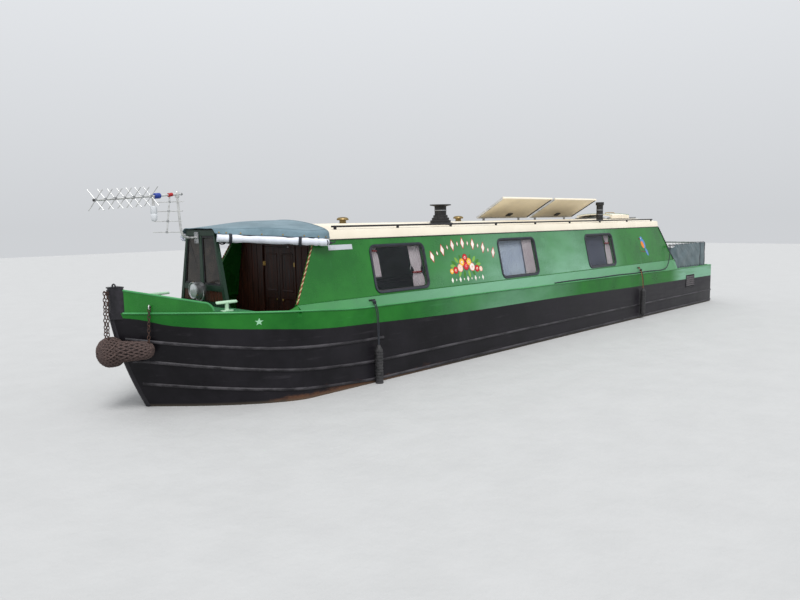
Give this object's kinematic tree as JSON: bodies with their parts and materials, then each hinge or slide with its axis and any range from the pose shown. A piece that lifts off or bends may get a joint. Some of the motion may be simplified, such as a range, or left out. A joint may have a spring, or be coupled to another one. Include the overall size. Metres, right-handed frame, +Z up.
{
  "type": "narrowboat",
  "caption": "Narrow steel canal boat: long low cabin with windows and panels on the roof, covered well deck at the bow, open stern deck with rail and tiller.",
  "frame": {"origin": "on the underside of the flat baseplate, on the centre line, 6.335 m behind the stem and 6.500 m ahead of the stern", "axes": "+X forward to the bow, +Y to port, +Z up; the waterline is at Z = 0.500 m"},
  "size_m": [13.0574, 2.1723, 2.725],
  "materials": {
    "hull_paint": "satin black paint with rust at the waterline",
    "cabin_paint": "gloss green paint",
    "roof_paint": "satin cream paint",
    "stained_wood": "stained and varnished",
    "window_glass": "polished, with curtains behind",
    "steel": "weathered",
    "stove_black": "matt black",
    "canvas": "weathered canvas",
    "rope": "plaited rope",
    "dark_rubber": "matt",
    "brass": "dull"
  },
  "bodies": {
    "boat": {"baseplate": "hull_paint", "hull_bow": "hull_paint", "hull_side_port": "hull_paint", "hull_side_starboard": "hull_paint", "hull_stern": "hull_paint", "foredeck": "cabin_paint", "well_deck_floor": "stained_wood", "cabin_floor": "stained_wood", "stern_deck": "cabin_paint", "engine_block": "steel", "cabin_side_port": "cabin_paint", "cabin_side_starboard": "cabin_paint", "window_port_1": "window_glass", "window_port_2": "window_glass", "window_port_3": "window_glass", "window_starboard_1": "window_glass", "window_starboard_2": "window_glass", "window_starboard_3": "window_glass", "cabin_roof": "roof_paint", "front_bulkhead": "stained_wood", "rear_bulkhead": "cabin_paint", "handrail_port": "stove_black", "handrail_starboard": "stove_black", "cratch_board": "stained_wood", "cratch_ridge": "stained_wood", "cratch_canopy": "canvas", "curtain_roll_port": "canvas", "curtain_roll_starboard": "canvas", "aerial": "steel", "stove_flue": "stove_black", "rear_flue": "stove_black", "bow_stud_port": "cabin_paint", "bow_stud_starboard": "cabin_paint", "tunnel_lamp": "steel", "stem_fender": "rope", "stem_chain": "steel", "side_chain_port": "steel", "side_chain_starboard": "steel", "stern_rail": "steel", "dodger_port": "canvas", "dodger_starboard": "canvas", "stern_tube": "brass", "side_fender_fore": "dark_rubber", "side_fender_aft": "dark_rubber", "gunwale_line": "dark_rubber"},
    "deck_lid": {"deck_lid": "cabin_paint"},
    "front_door_port": {"front_door_port": "stained_wood"},
    "front_door_starboard": {"front_door_starboard": "stained_wood"},
    "rear_door_port": {"rear_door_port": "stained_wood"},
    "rear_door_starboard": {"rear_door_starboard": "stained_wood"},
    "rear_hatch": {"rear_hatch": "roof_paint"},
    "solar_panel_fore": {"solar_panel_fore": "roof_paint"},
    "solar_panel_aft": {"solar_panel_aft": "roof_paint"},
    "rudder": {"rudder": "hull_paint", "tiller": "brass"},
    "propeller": {"propeller": "brass"}
  },
  "joints": [
    {"name": "rudder_turn", "type": "hinge", "parent": "boat", "child": "rudder", "pos_m": [-6.03, 0, 1], "axis": [0, 0, 1], "range_deg": [-38, 38]},
    {"name": "propeller_spin", "type": "hinge", "parent": "boat", "child": "propeller", "pos_m": [-5.84, 0, 0.24], "axis": [1, 0, 0], "continuous": true},
    {"name": "front_door_port_swing", "type": "hinge", "parent": "boat", "child": "front_door_port", "pos_m": [4.308, 0.3085, 1.44], "axis": [0, 0, 1], "range_deg": [0, 110]},
    {"name": "front_door_starboard_swing", "type": "hinge", "parent": "boat", "child": "front_door_starboard", "pos_m": [4.308, -0.3085, 1.44], "axis": [0, 0, -1], "range_deg": [0, 110]},
    {"name": "rear_door_port_swing", "type": "hinge", "parent": "boat", "child": "rear_door_port", "pos_m": [-4.143, 0.3085, 1.77], "axis": [0, 0, -1], "range_deg": [0, 110]},
    {"name": "rear_door_starboard_swing", "type": "hinge", "parent": "boat", "child": "rear_door_starboard", "pos_m": [-4.143, -0.3085, 1.77], "axis": [0, 0, 1], "range_deg": [0, 110]},
    {"name": "rear_hatch_slide", "type": "slide", "parent": "boat", "child": "rear_hatch", "axis": [1, 0, 0], "range_m": [-0.35, 0.28]},
    {"name": "solar_panel_fore_tilt", "type": "hinge", "parent": "boat", "child": "solar_panel_fore", "pos_m": [-0.58, -0.35, 2.372], "axis": [1, 0, 0], "range_deg": [-28, 15]},
    {"name": "solar_panel_aft_tilt", "type": "hinge", "parent": "boat", "child": "solar_panel_aft", "pos_m": [-2.09, -0.35, 2.372], "axis": [1, 0, 0], "range_deg": [-28, 15]},
    {"name": "deck_lid_lift", "type": "hinge", "parent": "boat", "child": "deck_lid", "pos_m": [-4.7, 0, 1.257], "axis": [0, 1, 0], "range_deg": [0, 100]}
  ]
}
